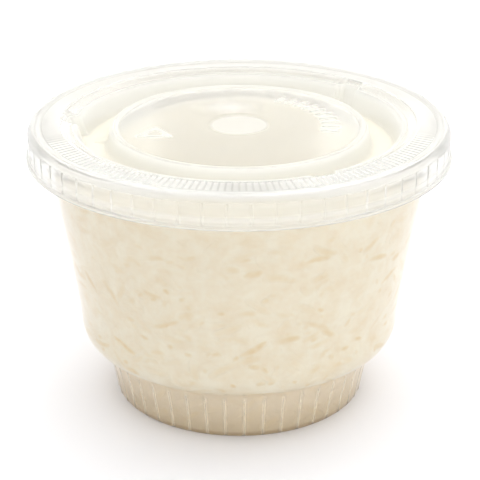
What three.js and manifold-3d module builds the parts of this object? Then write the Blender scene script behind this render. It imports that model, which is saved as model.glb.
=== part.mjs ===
// A portion of rice pudding in a clear footed cup with a press-on lid.
// Millimetres, +Z up, origin at the middle of the cup's foot. Front is -Y.
import * as THREE from 'three';
import { mergeVertices } from 'three/addons/utils/BufferGeometryUtils.js';
import Module from 'manifold-3d';

const wasm = await Module();
wasm.setup();

// ---------------------------------------------------------------- driving dimensions
const GAP = 0.3; // clearance between neighbouring pieces
const WALL = 0.7; // thickness of the formed plastic
const ROOT = 0.3; // how deep a raised detail is sunk into what carries it
const GOLDEN = (Math.sqrt(5) - 1) / 2; // share of a turn that spreads things evenly

const FOOT = {
  ringInner: 26.2, // the flat ring that the cup stands on
  ringOuter: 28.5,
  recess: 0.8, // how far the base is set up inside that ring
  edge: 0.4, // height at which the upright wall starts
  bottomRadius: 28.9,
  bend: [29.7, 6.0], // radius and height that pull the wall's curve
  topRadius: 31.2,
  height: 11.5,
  ribs: 44,
  ribDepth: 0.45,
};
const BODY = {
  neckRadius: 34.0, // where the shoulder starts to round upwards
  neck: 13.25,
  shoulderBend: [36.45, 14.9],
  shoulderRadius: 36.75, // end of the rounded shoulder over the foot
  shoulderTop: 18.5,
  bandRadius: 36.85, // end of the short upright band over the shoulder
  bandTop: 21.0,
  bend: [40.3, 45.4],
  topRadius: 43.55,
  top: 60.0,
};
const RIM = { outer: 46.0, inner: 44.2, bottom: 61.4, top: 63.8, round: 0.8 };
const CUP_SIDES = 2 * FOOT.ribs; // a crest and a valley for each rib

const LID = {
  top: 64.9, // crest and brow of the top, also the height of the whole object
  browRadius: 40.0, // inner edge of the top, over the wall of the well
  valleyRadius: 43.2, // shallow valley between brow and crest
  valleyDepth: 0.9,
  crestRadius: 45.6,
  skirtRadius: 47.1,
  skirtTop: 63.4,
  shoulderRadius: 47.0, // pulls the round between skirt and crest
  flangeRadius: 47.5,
  flangeHeight: 0.8,
  bottom: 57.2,
  panels: 60, // flat panels round the skirt
  grooveWidth: 0.7,
  grooveDepth: 0.3,
};
const WELL = {
  ledgeRadius: 36.3, // small ledge at the top of the wall of the well
  ledge: 63.75,
  floorOuter: 34.6,
  floorInner: 29.2,
  floor: 59.0,
  discRadius: 28.9,
  disc: 63.2, // raised middle of the lid
  beadRadius: 28.0, // round bead at the edge of the raised middle
  beadWidth: 1.6,
  beadHeight: 0.7,
  dimpleRadius: 6.5,
  dimpleSlope: 0.8,
  dimple: 0.35,
};
const NOTCHES = { azimuths: [45, 177, 298], width: 5.4, depth: 2.2 };
const MARK = { x: -18.5, y: -6.0, side: 8.4, corner: 1.2, line: 1.3, hole: 0.4, height: 0.45 };
const TICKS = { count: 10, radius: 20.5, from: -12, to: 62, length: 4.4, width: 1.3, height: 0.45 };

const PUDDING = {
  top: 57.1, // crown of the slightly domed top
  edge: 56.5, // where the top meets the wall
  swell: 0.05, // unevenness of the top
  relief: 0.8, // how far the grains stand out of the cream
  sides: 44,
  brim: 0.91, // share of the wall's curve at which the cream's side ends
  side: [0, 0.35, 0.65], // shares of that curve with a row of corners
  rings: [0.97, 0.87, 0.63, 0.32, 0], // the same for the top, as shares of its radius
  grainZone: [0.04, 0.84], // shares of the side between which the grains' middles lie
  wallGrains: 70,
  footGrains: 9,
  topGrains: 14,
  topGrainReach: 34, // no grain lies further out on the top
};
const GRAIN = {
  shortest: 5.0,
  longest: 7.8,
  longestInFoot: 6.0,
  radius: 0.72,
  blunt: 0.55, // share of the length that has the full radius
  steepest: 0.97, // sine of the steepest lean against the wall
  sides: 5,
};
const PUDDING_INSET = WALL + GAP + PUDDING.relief;

// ---------------------------------------------------------------- helpers
const point = (radius, height) => new THREE.Vector2(radius, height);
const radians = THREE.MathUtils.degToRad;

/** Repeatable random numbers from 0 to 1. */
function randomSource(seed) {
  let state = seed;
  return () => {
    state = (state * 1664525 + 1013904223) % 4294967296;
    return state / 4294967296;
  };
}

/** Turns a closed three.js geometry into a manifold solid. */
function toSolid(geometry) {
  const bare = geometry.clone();
  bare.deleteAttribute('normal');
  bare.deleteAttribute('uv');
  const merged = mergeVertices(bare);
  const corners = merged.index.array;
  const triVerts = [];
  for (let i = 0; i < corners.length; i += 3) {
    const [a, b, c] = [corners[i], corners[i + 1], corners[i + 2]];
    if (a !== b && b !== c && c !== a) triVerts.push(a, b, c);
  }
  return new wasm.Manifold(new wasm.Mesh({
    numProp: 3,
    vertProperties: new Float32Array(merged.attributes.position.array),
    triVerts: new Uint32Array(triVerts),
  }));
}

/** Turns a manifold solid back into a three.js geometry. */
function toGeometry(solid) {
  const mesh = solid.getMesh();
  const geometry = new THREE.BufferGeometry();
  geometry.setAttribute('position', new THREE.BufferAttribute(mesh.vertProperties, 3));
  geometry.setIndex(new THREE.BufferAttribute(mesh.triVerts, 1));
  geometry.computeVertexNormals();
  return geometry;
}

/** Quadratic curve of the profile between two points, pulled by a third. */
const bend = (from, pull, to) => new THREE.QuadraticBezierCurve(from, pull, to);

/** Turns a profile of (radius, height) points about the upright axis. */
function turned(profile, sides, startDegrees = 0) {
  const geometry = new THREE.LatheGeometry(profile, sides, radians(startDegrees));
  return geometry.rotateX(Math.PI / 2);
}

/** Places a geometry that was made at the front (-Y) at an azimuth counted from +X. */
const toAzimuth = (geometry, degrees) => geometry.rotateZ(radians(degrees + 90));

// ---------------------------------------------------------------- cup
/** Wall of the cup over the shoulder, moved inwards by an inset. */
function bodyCurve(inset) {
  const [radius, height] = BODY.bend;
  return bend(
    point(BODY.bandRadius - inset, BODY.bandTop),
    point(radius - inset, height),
    point(BODY.topRadius - inset, BODY.top),
  );
}

/** Shoulder of the cup over the foot, moved inwards by an inset. */
function shoulderCurve(inset) {
  const [radius, height] = BODY.shoulderBend;
  return bend(
    point(BODY.neckRadius - inset / 2, BODY.neck + inset),
    point(radius - inset, height + inset / 2),
    point(BODY.shoulderRadius - inset, BODY.shoulderTop),
  );
}

/** Upright wall of the foot. */
function footCurve() {
  return bend(
    point(FOOT.bottomRadius, FOOT.edge), point(...FOOT.bend), point(FOOT.topRadius, FOOT.height));
}

/** Corners of the foot and shoulder seen from inside the cup, from its floor up. */
function innerFoot(inset, floor) {
  const footInset = inset + FOOT.ribDepth;
  return [
    point(0, floor),
    point(FOOT.bottomRadius - footInset, floor),
    point(FOOT.topRadius - footInset, FOOT.height + inset),
    ...shoulderCurve(inset).getPoints(2),
  ];
}

/** Outer profile of the cup from the middle of the base up to the rim. */
function cupOutside() {
  return [
    point(0, FOOT.recess),
    point(FOOT.ringInner - FOOT.recess, FOOT.recess),
    point(FOOT.ringInner, 0),
    point(FOOT.ringOuter, 0),
    ...footCurve().getPoints(2),
    ...shoulderCurve(0).getPoints(2),
    ...bodyCurve(0).getPoints(3),
  ];
}

/** Rolled rim, from the outside of the wall over to the inside. */
function cupRim() {
  return [
    point(RIM.outer, RIM.bottom),
    point(RIM.outer, RIM.top - RIM.round),
    point(RIM.outer - RIM.round, RIM.top),
    point(RIM.inner, RIM.top - RIM.round),
  ];
}

/** Inner profile of the cup from the top of the wall down to the floor. */
function cupInside() {
  return [...innerFoot(WALL, FOOT.recess + WALL), ...bodyCurve(WALL).getPoints(2)].reverse();
}

/** Presses the upright ribs into the foot: every second corner is set in. */
function pressFootRibs(geometry) {
  const place = geometry.attributes.position;
  const corner = new THREE.Vector3();
  for (let i = 0; i < place.count; i++) {
    corner.fromBufferAttribute(place, i);
    const radius = Math.hypot(corner.x, corner.y);
    const side = Math.round(Math.atan2(corner.y, corner.x) / (Math.PI / FOOT.ribs));
    const onFoot = corner.z >= FOOT.edge && corner.z < 0.9 * FOOT.height && radius > FOOT.ringOuter;
    if (onFoot && side % 2 !== 0) {
      const scale = (radius - FOOT.ribDepth) / radius;
      place.setXY(i, corner.x * scale, corner.y * scale);
    }
  }
  return geometry;
}

function makeCup() {
  const profile = [...cupOutside(), ...cupRim(), ...cupInside()];
  return toSolid(pressFootRibs(turned(profile, CUP_SIDES)));
}

// ---------------------------------------------------------------- lid
/** Upper side of the lid, from the middle out to the bottom of the skirt. */
function lidOutside() {
  const shoulder = bend(
    point(LID.skirtRadius, LID.skirtTop),
    point(LID.shoulderRadius, LID.top),
    point(LID.crestRadius, LID.top),
  );
  const [halfBead, beadTop] = [WELL.beadWidth / 2, WELL.disc + WELL.beadHeight];
  return [
    point(LID.flangeRadius, LID.bottom),
    point(LID.skirtRadius, LID.bottom + LID.flangeHeight),
    ...shoulder.getPoints(3),
    point(LID.valleyRadius, LID.top - LID.valleyDepth),
    point(LID.browRadius, LID.top),
    point(WELL.ledgeRadius, WELL.ledge),
    point(WELL.floorOuter, WELL.floor),
    point(WELL.floorInner, WELL.floor),
    point(WELL.discRadius, WELL.disc),
    point(WELL.beadRadius + halfBead / 2, beadTop),
    point(WELL.beadRadius - halfBead / 2, beadTop),
    point(WELL.beadRadius - halfBead, WELL.disc),
    point(WELL.dimpleRadius + WELL.dimpleSlope, WELL.disc),
    point(WELL.dimpleRadius, WELL.disc - WELL.dimple),
    point(0, WELL.disc - WELL.dimple),
  ];
}

/** Underside of the lid, from the middle out to the bottom of the skirt. */
function lidInside() {
  const under = WELL.disc - WELL.dimple - WALL;
  return [
    point(0, under),
    point(WELL.discRadius - WALL, under),
    point(WELL.floorInner - WALL, WELL.floor - WALL),
    point(WELL.floorOuter + WALL / 2, WELL.floor - WALL),
    point(WELL.ledgeRadius + WALL, WELL.ledge - WALL),
    point(LID.browRadius, LID.top - WALL),
    point(LID.valleyRadius, LID.top - LID.valleyDepth - WALL),
    point(LID.crestRadius - WALL / 3, LID.top - WALL),
    point(LID.skirtRadius - WALL, LID.skirtTop),
    point(LID.skirtRadius - WALL, LID.bottom),
  ];
}

/** Sixty thin upright cutters that part the panels of the skirt. */
function skirtGrooves() {
  const bottom = LID.bottom + LID.flangeHeight;
  const height = LID.skirtTop - bottom;
  const pitch = 360 / LID.panels;
  const cutters = [];
  for (let i = 0; i < LID.panels; i++) {
    const cutter = new THREE.BoxGeometry(LID.grooveWidth, 2 * LID.grooveDepth, height);
    cutter.translate(0, -LID.skirtRadius, bottom + height / 2);
    cutters.push(toSolid(toAzimuth(cutter, (i + 0.5) * pitch - 90)));
  }
  return wasm.Manifold.union(cutters);
}

/** Walls round the notches, set behind the wall of the well. */
function notchWalls() {
  const reach = WELL.ledgeRadius + NOTCHES.depth + WALL;
  const bottom = WELL.floor - WALL;
  const side = new THREE.Shape([
    point(WELL.floorOuter, bottom),
    point(reach, bottom),
    point(reach, WELL.ledge - ROOT),
    point(WELL.ledgeRadius, WELL.ledge - ROOT),
    point(WELL.floorOuter + ROOT, WELL.floor),
  ]);
  const depth = NOTCHES.width + 2 * WALL;
  return NOTCHES.azimuths.map((azimuth) => {
    const wall = new THREE.ExtrudeGeometry(side, { depth, bevelEnabled: false });
    wall.rotateX(Math.PI / 2).translate(0, depth / 2, 0);
    return toSolid(wall.rotateZ(radians(azimuth)));
  });
}

/** Cutters that open the notches towards the well and upwards. */
function notchCutters() {
  const inner = WELL.floorOuter - ROOT;
  const length = WELL.ledgeRadius + NOTCHES.depth - inner;
  const height = LID.top - WELL.floor;
  return NOTCHES.azimuths.map((azimuth) => {
    const cutter = new THREE.BoxGeometry(length, NOTCHES.width, height);
    cutter.translate(inner + length / 2, 0, WELL.floor + height / 2);
    return toSolid(cutter.rotateZ(radians(azimuth)));
  });
}

/** Rounded triangle outline as a shape, for the raised mark and its hole. */
function roundedTriangle(size, cornerRadius) {
  const shape = new THREE.Shape();
  const reach = size / Math.sqrt(3) - 2 * cornerRadius;
  for (let i = 0; i < 3; i++) {
    const turn = radians(i * 120 - 90);
    shape.absarc(reach * Math.cos(turn), reach * Math.sin(turn), cornerRadius,
      turn - Math.PI / 3, turn + Math.PI / 3, false);
  }
  return shape;
}

/** Plain raised triangle on the lid's middle. */
function triangleMark() {
  const shape = roundedTriangle(MARK.side, MARK.corner);
  shape.holes.push(roundedTriangle(MARK.side - 2 * MARK.line, MARK.hole));
  const mark = new THREE.ExtrudeGeometry(shape, {
    depth: MARK.height + ROOT, bevelEnabled: false, curveSegments: 3,
  });
  return toSolid(mark.translate(MARK.x, MARK.y, WELL.disc - ROOT));
}

/** Evenly spaced raised ticks on an arc of the lid's middle. */
function gripTicks() {
  const ticks = [];
  const step = (TICKS.to - TICKS.from) / (TICKS.count - 1);
  for (let i = 0; i < TICKS.count; i++) {
    const tick = new THREE.BoxGeometry(TICKS.width, TICKS.length, TICKS.height + ROOT);
    tick.translate(0, -TICKS.radius, WELL.disc + (TICKS.height - ROOT) / 2);
    ticks.push(toSolid(toAzimuth(tick, TICKS.from + i * step)));
  }
  return ticks;
}

function makeLid() {
  const profile = [...lidOutside(), ...lidInside()];
  profile.push(profile[0].clone());
  const shell = toSolid(turned(profile, LID.panels, 180 / LID.panels));
  const cutters = wasm.Manifold.union([skirtGrooves(), ...notchCutters()]);
  const notched = wasm.Manifold.union([shell, ...notchWalls()]).subtract(cutters);
  return wasm.Manifold.union([notched, triangleMark(), ...gripTicks()]);
}

// ---------------------------------------------------------------- rice pudding
/** Height of the domed, slightly uneven top of the pudding. */
function topOf(x, y) {
  const share = Math.hypot(x, y) / (BODY.topRadius - PUDDING_INSET);
  const dome = PUDDING.top - (PUDDING.top - PUDDING.edge) * share ** 6;
  return dome + PUDDING.swell * (Math.sin(0.19 * x + 1.1) + Math.cos(0.17 * y - 0.13 * x));
}

/** The set cream that fills the cup, inside the layer of grains. */
function creamCore() {
  const wall = bodyCurve(PUDDING_INSET);
  const brim = wall.getPoint(PUDDING.brim);
  const profile = [
    ...innerFoot(PUDDING_INSET, FOOT.recess + WALL + GAP),
    ...PUDDING.side.map((share) => wall.getPoint(share)),
    brim,
    ...PUDDING.rings.map((share) => point(share * brim.x, PUDDING.top)),
  ];
  const geometry = turned(profile, PUDDING.sides);
  const place = geometry.attributes.position;
  for (let i = 0; i < place.count; i++) {
    if (place.getZ(i) === PUDDING.top) place.setZ(i, topOf(place.getX(i), place.getY(i)));
  }
  return toSolid(geometry);
}

/** One cooked grain: a spindle along Y with blunt ends. */
function grain(length) {
  const half = length / 2;
  const profile = [
    point(0, -half),
    point(GRAIN.radius, -GRAIN.blunt * half),
    point(GRAIN.radius, GRAIN.blunt * half),
    point(0, half),
  ];
  return new THREE.LatheGeometry(profile, GRAIN.sides);
}

/** Lays a grain at a place, along one direction, half sunk in the cream. */
function laidGrain(place, direction, length) {
  const geometry = grain(length);
  const turn = new THREE.Quaternion().setFromUnitVectors(
    new THREE.Vector3(0, 1, 0), direction.clone().normalize());
  geometry.applyQuaternion(turn);
  return toSolid(geometry.translate(place.x, place.y, place.z));
}

/** Grains that show at the wall, strewn along a profile curve of the cream. */
function wallGrains(curve, count, longest, random) {
  const grains = [];
  const proud = PUDDING.relief - GRAIN.radius;
  const [from, to] = PUDDING.grainZone;
  const [lowest, highest] = [curve.getPoint(0).y, curve.getPoint(PUDDING.brim).y];
  for (let i = 0; i < count; i++) {
    const foot = curve.getPoint(THREE.MathUtils.lerp(from, to, (i + random()) / count));
    const azimuth = 2 * Math.PI * i * GOLDEN;
    const length = THREE.MathUtils.lerp(GRAIN.shortest, longest, random());
    const room = Math.min(foot.y - lowest, highest - foot.y) / (length / 2);
    const lean = Math.asin(Math.min(GRAIN.steepest, room)) * (2 * random() - 1);
    const slope = curve.getTangent((foot.y - lowest) / (highest - lowest));
    const across = new THREE.Vector3(-Math.sin(azimuth), Math.cos(azimuth), 0);
    const up = new THREE.Vector3(
      slope.x * Math.cos(azimuth), slope.x * Math.sin(azimuth), slope.y);
    const direction = across.multiplyScalar(Math.cos(lean)).addScaledVector(up, Math.sin(lean));
    const radius = foot.x + proud;
    const place = new THREE.Vector3(
      radius * Math.cos(azimuth), radius * Math.sin(azimuth), foot.y);
    grains.push(laidGrain(place, direction, length));
  }
  return grains;
}

/** Grains that lie on the top of the pudding, spread evenly over the disc. */
function topGrains(random) {
  const grains = [];
  for (let i = 0; i < PUDDING.topGrains; i++) {
    const radius = PUDDING.topGrainReach * Math.sqrt((i + 0.5) / PUDDING.topGrains);
    const azimuth = 2 * Math.PI * i * GOLDEN;
    const heading = 2 * Math.PI * random();
    const length = THREE.MathUtils.lerp(GRAIN.shortest, GRAIN.longest, random());
    const [x, y] = [radius * Math.cos(azimuth), radius * Math.sin(azimuth)];
    const place = new THREE.Vector3(x, y, topOf(x, y));
    const direction = new THREE.Vector3(Math.cos(heading), Math.sin(heading), 0);
    grains.push(laidGrain(place, direction, length));
  }
  return grains;
}

function makePudding() {
  const random = randomSource(7);
  const [, low, high] = innerFoot(PUDDING_INSET, FOOT.recess + WALL + GAP);
  const footWall = new THREE.LineCurve(low, high);
  return wasm.Manifold.union([
    creamCore(),
    ...wallGrains(bodyCurve(PUDDING_INSET), PUDDING.wallGrains, GRAIN.longest, random),
    ...wallGrains(footWall, PUDDING.footGrains, GRAIN.longestInFoot, random),
    ...topGrains(random),
  ]);
}

// ---------------------------------------------------------------- the object
const MATERIALS = {
  cup: new THREE.MeshStandardMaterial({
    name: 'clear_cup', color: 0xf6f4ec, roughness: 0.12, metalness: 0, transparent: true, opacity: 0.35,
  }),
  lid: new THREE.MeshStandardMaterial({
    name: 'frosted_lid', color: 0xf7f7f3, roughness: 0.3, metalness: 0, transparent: true, opacity: 0.55,
  }),
  rice_pudding: new THREE.MeshStandardMaterial({
    name: 'rice_pudding', color: 0xeee1c9, roughness: 0.45, metalness: 0,
  }),
};

function named(name, solid) {
  const mesh = new THREE.Mesh(toGeometry(solid), MATERIALS[name]);
  mesh.name = name;
  return mesh;
}

const dessert = new THREE.Group();
dessert.name = 'rice_pudding_cup';
dessert.add(named('cup', makeCup()), named('lid', makeLid()), named('rice_pudding', makePudding()));

export default dessert;
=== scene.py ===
"""One serving of rice pudding: a clear footed cup, a milky press-on lid and the set cream with its rice.

Sizes are in millimetres unless a name says otherwise, and become metres when a mesh is written.
The axis of the cup is +Z, the floor is at Z = 0 and the front faces -Y.
A profile is a list of points, each a radius and a height, that is turned about the axis.
"""

import logging
import math
from collections.abc import Callable, Sequence
from dataclasses import dataclass, field
from enum import Enum

import bpy
import numpy as np
from bpy.types import Material, Node, NodeSocket, NodeTree, Object
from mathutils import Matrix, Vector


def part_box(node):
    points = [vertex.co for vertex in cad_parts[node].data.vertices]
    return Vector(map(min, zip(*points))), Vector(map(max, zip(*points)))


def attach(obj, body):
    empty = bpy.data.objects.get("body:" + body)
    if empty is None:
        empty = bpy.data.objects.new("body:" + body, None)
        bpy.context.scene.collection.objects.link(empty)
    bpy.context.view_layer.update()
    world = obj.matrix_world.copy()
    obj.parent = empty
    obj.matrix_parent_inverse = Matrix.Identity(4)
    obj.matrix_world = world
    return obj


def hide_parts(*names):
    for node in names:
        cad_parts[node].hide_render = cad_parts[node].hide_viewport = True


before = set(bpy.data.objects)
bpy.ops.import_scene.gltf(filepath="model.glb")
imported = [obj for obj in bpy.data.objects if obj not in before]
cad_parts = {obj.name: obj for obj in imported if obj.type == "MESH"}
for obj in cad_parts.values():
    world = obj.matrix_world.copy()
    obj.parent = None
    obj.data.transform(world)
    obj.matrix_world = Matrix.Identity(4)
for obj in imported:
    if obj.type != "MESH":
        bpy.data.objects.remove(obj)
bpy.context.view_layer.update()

MM = 0.001
log = logging.getLogger("rice_pudding")

MILK = "milk"  # mesh attribute: how much of the light a sheet scatters instead of letting it through
BARE = "bare"  # mesh attribute: how free of cream a grain is
FRONT = 270.0  # azimuth of the front in degrees, counted from +X
SHARP_ANGLE = math.radians(38)  # edges that turn by more than this stay sharp
WHITE = (1.0, 1.0, 1.0, 1.0)

Point = tuple[float, float]  # outwards and upwards, or right and rearwards
Span = tuple[float, float]
Press = Callable[["Row", np.ndarray], "Pressed"]
Faces = list[tuple[int, ...]]
Shade = tuple[float, ...] | NodeSocket


# ---------------- small helpers
def linear(hex_colour: str) -> tuple[float, float, float, float]:
    """Turns an sRGB hex colour into Blender's linear one.

    Args:
        hex_colour: Six hex digits, with or without a leading #.

    Returns:
        Red, green, blue and alpha, each from 0 to 1.
    """
    digits = hex_colour.lstrip("#")
    channels = [int(digits[i : i + 2], 16) / 255 for i in (0, 2, 4)]
    values = [c / 12.92 if c <= 0.04045 else ((c + 0.055) / 1.055) ** 2.4 for c in channels]
    return (values[0], values[1], values[2], 1.0)


def bezier(start: Point, control: Point, end: Point, steps: int) -> list[Point]:
    """Samples a quadratic curve in the plane of a profile.

    Args:
        start: First point, as radius and height.
        control: The point that pulls the curve.
        end: Last point.
        steps: How many stretches the curve is cut into.

    Returns:
        The points, both ends included.
    """
    t = np.linspace(0.0, 1.0, steps + 1)[:, None]
    curve = (1 - t) ** 2 * np.array(start) + 2 * t * (1 - t) * np.array(control) + t**2 * np.array(end)
    return [(float(r), float(z)) for r, z in curve]


def arc(centre: Point, radius: float, first: float, last: float, steps: int) -> list[Point]:
    """Samples an arc of a profile; its angles are in degrees from straight outwards towards up."""
    turns = np.radians(np.linspace(first, last, steps + 1))
    return [(centre[0] + radius * math.cos(a), centre[1] + radius * math.sin(a)) for a in turns]


def beside(anchor: Point, *offsets: Point) -> list[Point]:
    """Points of a profile, each given by how far outwards and upwards it is from an anchor."""
    return [(anchor[0] + out, anchor[1] + up) for out, up in offsets]


def smooth_step(low: float, high: float, value: np.ndarray) -> np.ndarray:
    """Rises softly from 0 at low to 1 at high."""
    t = np.clip((value - low) / (high - low), 0.0, 1.0)
    return t * t * (3 - 2 * t)


def arc_distance(azimuth: np.ndarray, centre: float) -> np.ndarray:
    """Angle in degrees from each azimuth to a centre, the short way round."""
    return np.abs((azimuth - centre + 180.0) % 360.0 - 180.0)


def off_nearest(azimuth: np.ndarray, count: int) -> np.ndarray:
    """Angle in degrees from each azimuth to the nearest of evenly spaced places, the first of them at 0."""
    pitch = 360.0 / count
    return np.abs((azimuth + pitch / 2) % pitch - pitch / 2)


# ---------------- turned surfaces
class Relief(Enum):
    """What is pressed into a row of a turned surface."""

    PLAIN = "nothing"
    KNURL = "fine radial ridges on the lid's top ring"
    PANEL = "flat panels round the lid's skirt"
    NOTCH = "notches in the outer wall of the lid's channel"
    MARKS = "raised triangle and ticks on the lid's middle"
    RIB = "upright ribs in the cup's foot"


@dataclass
class Pressed:
    """What a relief does at each azimuth: offsets outwards and upwards, and added milkiness."""

    out: np.ndarray
    up: np.ndarray
    milk: np.ndarray

    @classmethod
    def nothing(cls, azimuth: np.ndarray) -> "Pressed":
        """Starts with no offset and no added milkiness."""
        return cls(*(np.zeros(azimuth.shape) for _ in range(3)))


@dataclass(frozen=True)
class Row:
    """One row of corners round a turned surface; a row of one corner is a point on the axis."""

    radius: float
    height: float
    corners: int
    relief: Relief = Relief.PLAIN
    milk: float = 0.0


def rows_of(points: Sequence[Point], corners: int, milk: float = 0.0,
            relief: Relief = Relief.PLAIN) -> list[Row]:
    """Makes rows with one number of corners, one milkiness and one relief from profile points."""
    return [Row(radius, height, corners, relief, milk) for radius, height in points]


def no_relief(_: Row, azimuth: np.ndarray) -> Pressed:
    """What a plain row has pressed into it: nothing."""
    return Pressed.nothing(azimuth)


def bridge(lower: np.ndarray, upper: np.ndarray) -> Faces:
    """Joins two rows of corner numbers whose counts are equal or whole multiples.

    Args:
        lower: Corner numbers of the first row, or one number for a point.
        upper: Corner numbers of the next row, or one number for a point.

    Returns:
        Quads where the counts agree and triangles elsewhere.
    """
    if len(lower) < len(upper):
        return [face[::-1] for face in bridge(upper, lower)]
    ratio = len(lower) // len(upper)
    to_point = len(upper) == 1
    faces = []
    for i, corner in enumerate(upper):
        ahead = upper[(i + 1) % len(upper)]
        run = [lower[(i * ratio + k) % len(lower)] for k in range(ratio + 1)]
        if ratio == 1 and not to_point:
            faces.append((corner, ahead, run[1], run[0]))
            continue
        faces += [(corner, run[k + 1], run[k]) for k in range(ratio)]
        if not to_point:
            faces.append((corner, ahead, run[-1]))
    return faces


def facing_out(corners: np.ndarray, faces: Faces) -> Faces:
    """Turns every face of a closed surface round if they face inwards.

    Args:
        corners: One row of x, y, z for each corner.
        faces: Corner numbers of each face.

    Returns:
        The same faces, all with their outer side in front.
    """
    fans = np.array([(f[0], f[k], f[k + 1]) for f in faces for k in range(1, len(f) - 1)])
    a, b, c = (corners[fans[:, k]] for k in range(3))
    volume = np.einsum("ij,ij->", a, np.cross(b, c))
    return faces if volume > 0 else [face[::-1] for face in faces]


def new_piece(name: str, corners_mm: np.ndarray, faces: Faces) -> Object:
    """Writes a mesh in metres and links its object to the scene.

    Args:
        name: Name of the piece.
        corners_mm: One row of x, y, z for each corner.
        faces: Corner numbers of each face.

    Returns:
        The new object.
    """
    mesh = bpy.data.meshes.new(name)
    mesh.from_pydata((corners_mm * MM).tolist(), [], faces)
    mesh.validate()
    mesh.update()
    piece = bpy.data.objects.new(name, mesh)
    bpy.context.scene.collection.objects.link(piece)
    return piece


def add_values(piece: Object, name: str, values: np.ndarray) -> None:
    """Gives each corner of a mesh a value that a finish can read."""
    layer = piece.data.attributes.new(name, "FLOAT", "POINT")
    layer.data.foreach_set("value", values.astype(np.float32))


def turned_piece(name: str, rows: Sequence[Row], press: Press) -> Object:
    """Turns rows about the upright axis into one closed surface.

    Args:
        name: Name of the piece.
        rows: From the middle of one side, round the outside, to the middle of the other.
        press: Gives what a relief does at each azimuth in degrees.

    Returns:
        The new object, smooth shaded with its sharp edges marked.
    """
    corners, milk, numbers, count = [], [], [], 0
    for row in rows:
        azimuth = np.arange(row.corners) * 360.0 / row.corners
        pressed = press(row, azimuth)
        radius = row.radius + pressed.out if row.corners > 1 else np.zeros(1)
        turn = np.radians(azimuth)
        corners.append(np.stack([radius * np.cos(turn), radius * np.sin(turn), row.height + pressed.up], 1))
        milk.append(row.milk + pressed.milk)
        numbers.append(np.arange(count, count + row.corners))
        count += row.corners
    faces = [tuple(map(int, face)) for pair in zip(numbers, numbers[1:]) for face in bridge(*pair)]
    place = np.concatenate(corners)
    piece = new_piece(name, place, facing_out(place, faces))
    add_values(piece, MILK, np.concatenate(milk))
    piece.data.shade_smooth()
    piece.data.set_sharp_from_angle(angle=SHARP_ANGLE)
    return piece


# ---------------- nodes
def add_node(tree: NodeTree, kind: str, settings: dict | None = None) -> Node:
    """Adds one node and fills in its properties and inputs.

    Args:
        tree: The node tree that the node goes into.
        kind: The node's type name.
        settings: Values by the name of a property, or by the name or number of an input. A value that
            is another node's output is linked.

    Returns:
        The new node.
    """
    node = tree.nodes.new(kind)
    for name, value in (settings or {}).items():
        if isinstance(value, NodeSocket):
            tree.links.new(value, node.inputs[name])
        elif isinstance(name, str) and hasattr(node, name):
            setattr(node, name, value)
        else:
            node.inputs[name].default_value = value
    return node


def new_material(name: str) -> tuple[Material, NodeTree]:
    """Makes an empty node material.

    Args:
        name: Name of the material.

    Returns:
        The material and its node tree.
    """
    material = bpy.data.materials.new(name)
    material.use_nodes = True
    material.node_tree.nodes.clear()
    return material, material.node_tree


def soft_material(name: str, colour: Callable[[NodeTree], Shade], roughness: float,
                  ior: float, gloss: float) -> Material:
    """Makes a material of one soft opaque surface.

    Args:
        name: Name of the material.
        colour: Gives the colour, once it has the node tree.
        roughness: How blurred the gloss is.
        ior: Refractive index.
        gloss: Strength of the mirroring, where 0.5 is usual for the index.

    Returns:
        The material.
    """
    material, tree = new_material(name)
    surface = add_node(tree, "ShaderNodeBsdfPrincipled", {
        "Base Color": colour(tree), "Roughness": roughness, "IOR": ior, "Specular IOR Level": gloss})
    add_node(tree, "ShaderNodeOutputMaterial", {"Surface": surface.outputs[0]})
    return material


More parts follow.
